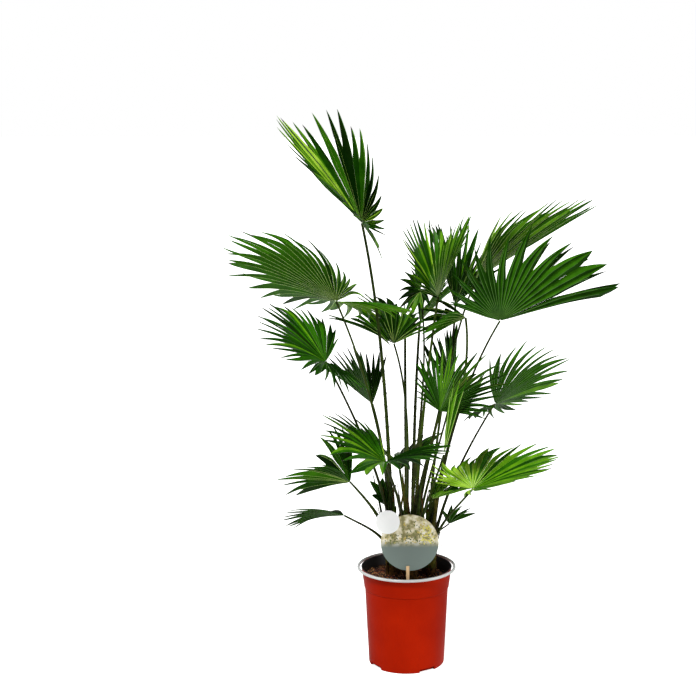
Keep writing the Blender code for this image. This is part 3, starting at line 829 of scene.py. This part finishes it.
def sheath(rng, spot, turn):
    """A tapering strap at one side of the stem, brown at its foot and at times at its tip."""
    out = np.array((math.cos(turn), math.sin(turn), 0.0))
    height = rng.uniform(*SHEATH_HEIGHTS)
    lean = rng.uniform(*SHEATH_LEANS)
    ring = STEM_RADIUS * rng.uniform(0.35, 0.95)
    t = np.linspace(0, 1, SHEATH_STATIONS)[:, None]
    foot = np.array((*spot, SOIL_TOP - 0.004)) + out * ring
    line = foot + UP * height * t + out * (height * lean * t ** 1.6)
    line += np.cross(UP, out) * height * rng.uniform(-0.08, 0.08) * t ** 2
    wide = (0.0062 * (1 - t[:, 0]) ** 0.8 + 0.0012) * rng.uniform(0.7, 1.15)
    rings = tube(line, wide, wide * 0.42, out)[0]
    faces = ring_faces(SHEATH_STATIONS, STALK_RING)
    finish = rng.choice((0, 0, 0, 1, 1, 2))
    brown_from = 9 if rng.random() < BROWN_TIP_CHANCE else SHEATH_STATIONS + 1
    finishes = [finish if 2 <= f // STALK_RING < brown_from else SHEATH_BROWN
                for f in range(len(faces))]
    return rings.reshape(-1, 3).tolist(), faces, finishes, []


# %% Fibres and whole clumps
FIBRES_PER_STEM = 40
FIBRE_RADIUS = 0.0004


def fibre(line, radius, finish, flat_toward=ASLANT):
    """A round thread along a line."""
    thin = np.full(len(line), radius)
    rings = tube(line, thin, thin, flat_toward)[0]
    faces = ring_faces(len(line), STALK_RING)
    return rings.reshape(-1, 3).tolist(), faces, [finish] * len(faces), []


def sheath_fibre(rng, spot):
    """A thread that climbs the outside of the sheaths and drifts off them."""
    turn = rng.uniform(0, math.tau)
    out = np.array((math.cos(turn), math.sin(turn), 0.0))
    aside = np.cross(UP, out)
    low = np.array((*spot, SOIL_TOP + rng.uniform(0, 0.05)))
    foot = low + out * STEM_RADIUS * rng.uniform(0.8, 1.15)
    t = np.linspace(0, 1, 7)[:, None]
    rise, drift = rng.uniform(0.02, 0.09), rng.uniform(-0.03, 0.03)
    line = foot + UP * rise * t + aside * drift * t + out * rng.uniform(0, 0.012) * t ** 2
    return fibre(line, FIBRE_RADIUS, SHEATH_BROWN, out)


def clump_parts(stem, spot):
    """All the sheaths and fibres of one stem."""
    rng = random.Random("sheath " + stem)
    parts = []
    for i in range(SHEATHS_PER_STEM):
        turn = math.tau * (i + rng.uniform(-0.3, 0.3)) / SHEATHS_PER_STEM
        parts.append(sheath(rng, spot, turn))
    for _ in range(FIBRES_PER_STEM):
        parts.append(sheath_fibre(rng, spot))
    return join_parts(parts)


for stem, spot in STEMS.items():
    add_piece("sheaths_" + stem, clump_parts(stem, spot), sheath_set,
              ["stem_" + stem], crease=50)

# %% [markdown]
# ## The pot
# A nursery pot is moulded polypropylene: terracotta red outside, black inside, with a
# grey rolled rim. A real wall is about 1 mm thick, and the CAD model's is 2 mm. The
# pot could be a cylinder with loop cuts, but a profile turned about the axis, as on a
# lathe, gives every step its own radius and height in millimetres.

# %% Pot materials
# Moulded polypropylene (IOR about 1.49) has a fine even grain that kills its shine.
GRAIN_MM = 1.5
POT_SHINE = 0.02
terracotta_pp, tree, shader = new_material("terracotta_polypropylene", 0.42, 1.49)
shader.inputs["Specular IOR Level"].default_value = POT_SHINE
mottle(tree, shader, ("8E1501", "981901"), 60)
grain = add_node(tree, "ShaderNodeTexNoise", {"Scale": 1000 / GRAIN_MM, "Detail": 2.0})
roughen(tree, shader, (grain, "Fac"), 0.0001, 0.25)
black_pp = mottled("black_polypropylene", 0.45, ("0E0B0A", "1A1513"), 40, ior=1.49)
grey_pp = mottled("grey_polypropylene", 0.35, ("ACAEAD", "C6C8C6"), 40, ior=1.49)
print("pot of", terracotta_pp.name, black_pp.name, grey_pp.name)

# %% Pot sizes
POT_HEIGHT = 0.213
RIM_RADIUS = 0.105
RIM_WIDTH = 0.0056
RIM_DROP = 0.0060
UNDER_RIM = POT_HEIGHT - RIM_DROP
COLLAR_RADIUS = 0.0954
COLLAR_FOOT = (0.0900, 0.167)
STEP_DROP = 0.0014
BODY_TOP_RADIUS = 0.0885
BODY_TOP = COLLAR_FOOT[1] - STEP_DROP
BASE_RADIUS = 0.0805
WALL = 0.0020
BASE_THICK = 0.010


def inner_radius(height):
    """The inside of the wall, which widens faster above the step of the collar."""
    if height < BODY_TOP:
        return BASE_RADIUS + (BODY_TOP_RADIUS - BASE_RADIUS) * height / BODY_TOP - WALL
    share = (height - BODY_TOP) / (UNDER_RIM - BODY_TOP)
    return BODY_TOP_RADIUS + (COLLAR_RADIUS - BODY_TOP_RADIUS) * share - WALL


print("mouth", round(2000 * inner_radius(UNDER_RIM)), "mm wide inside")

# %% Turning and cutting
POT_STEPS = 144


def turned(name, profile, closed=False):
    """A solid turned about Z from (radius, height) pairs."""
    mesh = bpy.data.meshes.new(name)
    edges = [(i, i + 1) for i in range(len(profile) - 1)]
    if closed:
        edges.append((len(profile) - 1, 0))
    mesh.from_pydata([(r, 0, z) for r, z in profile], edges, [])
    piece = bpy.data.objects.new(name, mesh)
    bpy.context.scene.collection.objects.link(piece)
    screw = piece.modifiers.new("Turn", "SCREW")
    screw.steps = screw.render_steps = POT_STEPS
    screw.use_merge_vertices = True
    screw.merge_threshold = 0.00005
    screw.use_normal_calculate = True
    return piece


def box(name, size):
    """A box mesh round its own middle."""
    mesh = bpy.data.meshes.new(name)
    bm = bmesh.new()
    bmesh.ops.create_cube(bm, size=1.0)
    bmesh.ops.scale(bm, vec=size, verts=bm.verts)
    bm.to_mesh(mesh)
    bm.free()
    return mesh


def make_real(piece):
    """Turn the piece's modifiers into mesh."""
    bpy.context.view_layer.update()
    evaluated = piece.evaluated_get(bpy.context.evaluated_depsgraph_get())
    mesh = bpy.data.meshes.new_from_object(evaluated)
    piece.modifiers.clear()
    piece.data = mesh


# %% The wall
inner_mouth = inner_radius(UNDER_RIM)
inside = [
    (0, BASE_THICK), (inner_radius(0.014), BASE_THICK),
    (inner_radius(BODY_TOP), BODY_TOP), (inner_mouth, UNDER_RIM),
    (inner_mouth + 0.001, POT_HEIGHT - 0.002)]
outside = [
    (COLLAR_RADIUS + 0.001, POT_HEIGHT - 0.002), (COLLAR_RADIUS, UNDER_RIM),
    (COLLAR_FOOT[0] + 0.0002, COLLAR_FOOT[1] + 0.0006), (COLLAR_FOOT[0] - 0.0004, COLLAR_FOOT[1]),
    (BODY_TOP_RADIUS, BODY_TOP), (BASE_RADIUS + 0.0001, 0.003),
    (BASE_RADIUS - 0.0004, 0.0010), (BASE_RADIUS - 0.0014, 0), (0, 0)]
pot = turned("pot_wall", inside + outside)
print("wall turned from", len(inside + outside), "points")

# %% [markdown]
# Four notches in the foot let water out when the pot stands on a tray. They are
# boxes taken away by a Boolean modifier, which leaves the turned profile as it was.

# %% The notches and finishes
NOTCHES = 4
NOTCH = (0.020, 0.038, 0.016)
NOTCH_REACH = 0.0815
FIRST_NOTCH = math.radians(34)
INSIDE_FROM = 0.009

cutters = []
for i in range(NOTCHES):
    turn = FIRST_NOTCH + i * math.tau / NOTCHES
    cutter = bpy.data.objects.new("notch", box("notch", NOTCH))
    cutter.location = (NOTCH_REACH * math.cos(turn), NOTCH_REACH * math.sin(turn), 0)
    cutter.rotation_euler.z = turn
    bpy.context.scene.collection.objects.link(cutter)
    cutters.append(cutter)
    cut = pot.modifiers.new("Notch", "BOOLEAN")
    cut.operation = "DIFFERENCE"
    cut.object = cutter
make_real(pot)
for cutter in cutters:
    bpy.data.objects.remove(cutter)

# Faces above the foot that look towards the axis are the black inside.
pot.data.materials.clear()
pot.data.materials.append(terracotta_pp)
pot.data.materials.append(black_pp)
for face in pot.data.polygons:
    outward = Vector((face.center.x, face.center.y, 0)).dot(face.normal)
    face.material_index = 1 if face.center.z > INSIDE_FROM and outward <= 0 else 0
pot.data.shade_smooth()
pot.data.set_sharp_from_angle(angle=math.radians(28))

# %% The rim
rim_profile = []
for a in np.linspace(0, math.tau, 16, endpoint=False):
    rim_profile.append((RIM_RADIUS - RIM_WIDTH / 2 + math.cos(a) * RIM_WIDTH / 2,
                        POT_HEIGHT - RIM_DROP / 2 + math.sin(a) * RIM_DROP / 2))
rim = turned("pot_rim", rim_profile, closed=True)
make_real(rim)
rim.data.materials.append(grey_pp)
rim.data.shade_smooth()
for piece in (pot, rim):
    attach(piece, "root")
    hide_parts("pot")
    print(piece.name, len(piece.data.polygons), "faces")

# %% [markdown]
# ## The soil
# Potting mix is dark peat with coir, bark and root bits: crumbs of 1 to 6 mm and
# short reddish fibres on an uneven ground. Bump on a flat disc would look like paint
# this near the rim. So the ground is a disc of rings pushed up and down by a few
# waves, with crumbs and fibres strewn on it.

# %% Soil materials
# Peat, coir and bark are rough and open, with hardly any shine.
peat_set = [mottled(name, 0.95, pair, 4, 0.0012) for name, pair in {
    "peat_dark": ("120A07", "24130C"),
    "peat_brown": ("2A150D", "452214"),
    "coir_rust": ("5A2A14", "864722"),
    "bark_plum": ("2A1618", "4A2A2A"),
    "coir_straw": ("9A6A3A", "C0905A"),
}.items()]
print(len(peat_set), "soil finishes")

# %% Uneven ground
SOIL_EDGE = inner_radius(SOIL_TOP - 0.005) - 0.0004
SOIL_RINGS = 36
SOIL_TURNS = 96
SOIL_FOOT = 0.150
soil_rng = random.Random(21)
waves = [(soil_rng.uniform(40, 260), soil_rng.uniform(0, math.tau), soil_rng.uniform(0, math.tau))
         for _ in range(14)]


def ground(x, y):
    """The soil's height, a little lower towards the wall."""
    lift = sum(math.sin(k * (x * math.cos(a) + y * math.sin(a)) + p) * 0.06 / k for k, a, p in waves)
    return SOIL_TOP - 0.0022 + lift - 0.004 * max(0, (math.hypot(x, y) - 0.070) / 0.022)


def ground_part():
    """The disc of soil, with a skirt and a bottom that the pot hides."""
    verts = [(0, 0, ground(0, 0))]
    turns = [math.tau * j / SOIL_TURNS for j in range(SOIL_TURNS)]
    for i in range(1, SOIL_RINGS + 1):
        r = SOIL_EDGE * i / SOIL_RINGS
        verts += [(r * math.cos(a), r * math.sin(a), ground(r * math.cos(a), r * math.sin(a)))
                  for a in turns]
    low, r = len(verts), 0.96 * SOIL_EDGE
    verts += [(r * math.cos(a), r * math.sin(a), SOIL_FOOT) for a in turns]
    faces = [(0, 1 + j, 1 + (j + 1) % SOIL_TURNS) for j in range(SOIL_TURNS)]
    for i in range(SOIL_RINGS):
        for j in range(SOIL_TURNS):
            a, b = 1 + i * SOIL_TURNS + j, 1 + i * SOIL_TURNS + (j + 1) % SOIL_TURNS
            faces.append((a, a + SOIL_TURNS, b + SOIL_TURNS, b))
    faces.append(tuple(low + j for j in reversed(range(SOIL_TURNS))))
    return verts, faces, [0 if soil_rng.random() < 0.7 else 1 for _ in faces], []


# %% Crumbs and fibres
CRUMBS = 4200
SMALLEST_CRUMB, CRUMB_RANGE = 0.0009, 0.0021
SOIL_FIBRES = 420
CORNERS = ((1, 0, 0), (-1, 0, 0), (0, 1, 0), (0, -1, 0), (0, 0, 1), (0, 0, -1))
SIDES = [(0, 2, 4), (2, 1, 4), (1, 3, 4), (3, 0, 4), (2, 0, 5), (1, 2, 5), (3, 1, 5), (0, 3, 5)]


def strewn(margin):
    """A random spot on the soil, at least margin from its edge."""
    a, r = soil_rng.uniform(0, math.tau), (SOIL_EDGE - margin) * math.sqrt(soil_rng.random())
    return r * math.cos(a), r * math.sin(a)


def crumb():
    """A dented octahedron, most often a small one."""
    x, y = strewn(0.002)
    size = SMALLEST_CRUMB + CRUMB_RANGE * soil_rng.random() ** 2.2
    spots = [Vector(v) * size * soil_rng.uniform(0.6, 1.3) for v in CORNERS]
    z = ground(x, y) + size * 0.35
    finish = soil_rng.choice((0, 0, 0, 0, 1, 1, 2, 2, 3, 4))
    return [(x + s.x, y + s.y, z + s.z) for s in spots], SIDES, [finish] * len(SIDES), []


def soil_fibre():
    """A short bowed thread that lies on the ground."""
    x, y = strewn(0.012)
    heading = soil_rng.uniform(0, math.tau)
    reach = soil_rng.uniform(0.006, 0.020)
    bow = soil_rng.uniform(-0.3, 0.3)
    line = []
    for t in (0, 0.25, 0.5, 0.75, 1):
        px = x + math.cos(heading + bow * t) * reach * (t - 0.5)
        py = y + math.sin(heading + bow * t) * reach * (t - 0.5)
        line.append((px, py, ground(px, py) + 0.0012 + 0.001 * math.sin(t * math.pi)))
    return fibre(np.array(line), soil_rng.uniform(0.0003, 0.0007), soil_rng.choice((1, 2, 2, 4)))


soil = [ground_part()]
soil += [crumb() for _ in range(CRUMBS)]
soil += [soil_fibre() for _ in range(SOIL_FIBRES)]
add_piece("potting_soil", join_parts(soil), peat_set, ["soil"], crease=40)

# %% [markdown]
# ## The label
# A printed round card of 120 mm with a small disc lapped over its edge, held up by
# a birch stick that stands in the soil. Its print is plain: a sage band below, and
# above it a loose, generic scatter of leaves over cream. There are no words on it.
# An image texture would be the usual way to print a card; here noise makes the
# blots, and the leaves are thin plates of ink that keep their edges at any size.

# %% Card and disc materials
# Coated card (IOR about 1.5) is smooth and even, with a faint satin shine.
BLOT_MM = 14
BAND_TOP = 0.280
CREAM = "F4F0E2"
PRINT_STOPS = ((0.0, "5E5A34"), (0.40, "8C8450"), (0.50, "C9BE92"), (0.60, "E9E2CC"), (0.72, CREAM))

card_print, tree, shader = new_material("printed_card", 0.42, 1.5)
place = add_node(tree, "ShaderNodeTexCoord")
split = add_node(tree, "ShaderNodeSeparateXYZ", {"Vector": (place, "Object")})
blots = add_node(tree, "ShaderNodeTexNoise",
                 {"Vector": (place, "Object"), "Scale": 1000 / BLOT_MM, "Detail": 4.0})
print_ramp = add_node(tree, "ShaderNodeValToRGB", {"Fac": (blots, "Fac")})
stops = print_ramp.color_ramp.elements
for at, code in PRINT_STOPS:
    stop = stops.new(at) if at else stops[0]
    stop.color = linear(code)
stops[-1].color = linear(CREAM)
edge = add_node(tree, "ShaderNodeMapRange",
                {"Value": (split, "Z"), "From Min": BAND_TOP - 0.004, "From Max": BAND_TOP + 0.012})
band = add_node(tree, "ShaderNodeMix",
                {0: (edge, "Result"), 6: linear("67756F"), 7: (print_ramp, "Color")}, data_type="RGBA")
tree.links.new(band.outputs[2], shader.inputs["Base Color"])
disc_print = mottled("white_card", 0.42, ("FAFCFB", "FFFFFF"), 30, ior=1.5)
print("card with", len(stops), "print colours")

# %% Stick material
# Birch is pale and plain, with a fine grain that runs the length of the stick.
BIRCH_GRAIN_MM = 1.2
birch, tree, shader = new_material("birch_wood", 0.6)
place = add_node(tree, "ShaderNodeTexCoord")
stretch = add_node(tree, "ShaderNodeMapping", {"Vector": (place, "Object"), "Scale": (1.0, 1.0, 0.08)})
grain = add_node(tree, "ShaderNodeTexNoise",
                 {"Vector": (stretch, "Vector"), "Scale": 1000 / BIRCH_GRAIN_MM, "Detail": 3.0})
grain_ramp = add_node(tree, "ShaderNodeValToRGB", {"Fac": (grain, "Fac")})
grain_ramp.color_ramp.elements[0].color = linear("C89A66")
grain_ramp.color_ramp.elements[1].color = linear("EBCFA4")
tree.links.new(grain_ramp.outputs["Color"], shader.inputs["Base Color"])
roughen(tree, shader, (grain, "Fac"), 0.0003)
print("stick of", birch.name)

# %% Card and disc
CARD_RADIUS = 0.060
CARD_CENTRE = (0.0066, 0.286)
DISC_RADIUS = 0.025
DISC_CENTRE = (-0.0388, 0.330)
CARD_THICK = 0.0012
CARD_FRONT = -0.0815
GAP = 0.0003


def flat_plate(outline, front, thick, finish=0):
    """A plate from an outline of (x, z), its front face at y = front."""
    count = len(outline)
    verts = [(x, front, z) for x, z in outline] + [(x, front + thick, z) for x, z in outline]
    faces = [tuple(range(count)), tuple(reversed(range(count, 2 * count)))]
    faces += [((i + 1) % count, i, i + count, (i + 1) % count + count) for i in range(count)]
    return verts, faces, [finish] * len(faces), []


def circle(centre, radius, steps):
    """Points (x, z) round a circle."""
    return [(centre[0] + radius * math.cos(math.tau * i / steps),
             centre[1] + radius * math.sin(math.tau * i / steps)) for i in range(steps)]


card = flat_plate(circle(CARD_CENTRE, CARD_RADIUS, 128), CARD_FRONT, CARD_THICK)
add_piece("label_card_print", card, [card_print], ["label_card"])
disc = flat_plate(circle(DISC_CENTRE, DISC_RADIUS, 96), CARD_FRONT - GAP, CARD_THICK)
add_piece("label_disc", disc, [disc_print], ["label_card"])

# %% Printed leaves
SPRIGS = 190
INK_THICK = 0.00005
LEFT_PART = 0.03
sprig_inks = [mottled(name, 0.42, pair, 6, ior=1.5) for name, pair in {
    "ink_olive": ("5C6430", "79803C"),
    "ink_straw": ("B8A24A", "D2BE62"),
    "ink_lemon": ("D8CE48", "E8E070"),
    "ink_moss": ("3E4A2A", "56613A"),
}.items()]


def leaf_outline(x, z, turn, size):
    """A pointed oval, turned and set at (x, z)."""
    outline = []
    for t in np.linspace(0, math.tau, 10, endpoint=False):
        u, v = math.cos(t) * size / 2, math.sin(t) * size / 5 * (1 - 0.5 * math.cos(t))
        outline.append((x + u * math.cos(turn) - v * math.sin(turn),
                        z + u * math.sin(turn) + v * math.cos(turn)))
    return outline


def sprig_parts():
    """Little printed leaves, strewn above the sage band and clear of the disc."""
    rng = random.Random(8)
    parts = []
    while len(parts) < SPRIGS:
        a, r = rng.uniform(0, math.tau), (CARD_RADIUS - 0.006) * math.sqrt(rng.random())
        x, z = CARD_CENTRE[0] + r * math.cos(a), CARD_CENTRE[1] + r * math.sin(a)
        from_disc = math.hypot(x - DISC_CENTRE[0], z - DISC_CENTRE[1]) - DISC_RADIUS
        if z < BAND_TOP + 0.004 or from_disc < 0.004:
            continue
        if rng.random() < (z - BAND_TOP) / 0.08 * 1.1 and x < LEFT_PART:
            continue
        turn, size = rng.uniform(0, math.tau), rng.uniform(0.003, 0.0065)
        front = CARD_FRONT - 0.00006 - 0.00001 * (len(parts) % 9)
        ink = rng.choice((0, 0, 1, 3)) if x < LEFT_PART else rng.choice((1, 2, 2, 0))
        parts.append(flat_plate(leaf_outline(x, z, turn, size), front, INK_THICK, ink))
    return join_parts(parts)


add_piece("label_sprigs", sprig_parts(), sprig_inks, [])

# %% The stick
STICK_WIDTH, STICK_THICK = 0.0066, 0.0020
STICK_TOP, STICK_FOOT = 0.2365, 0.165
STICK_ASIDE = 0.004

stick_mesh = box("label_stick_wood", (STICK_WIDTH, STICK_THICK, STICK_TOP - STICK_FOOT))
bm = bmesh.new()
bm.from_mesh(stick_mesh)
bmesh.ops.bevel(bm, geom=bm.edges, offset=0.0005, segments=2, affect="EDGES", profile=0.5)
bm.to_mesh(stick_mesh)
bm.free()
stick_mesh.materials.append(birch)
stick = bpy.data.objects.new("label_stick_wood", stick_mesh)
stick.location = (CARD_CENTRE[0] - STICK_ASIDE, CARD_FRONT - GAP - STICK_THICK / 2,
                  (STICK_TOP + STICK_FOOT) / 2)
bpy.context.scene.collection.objects.link(stick)
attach(stick, "root")
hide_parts("label_stick")
print(stick.name, len(stick_mesh.polygons), "faces")
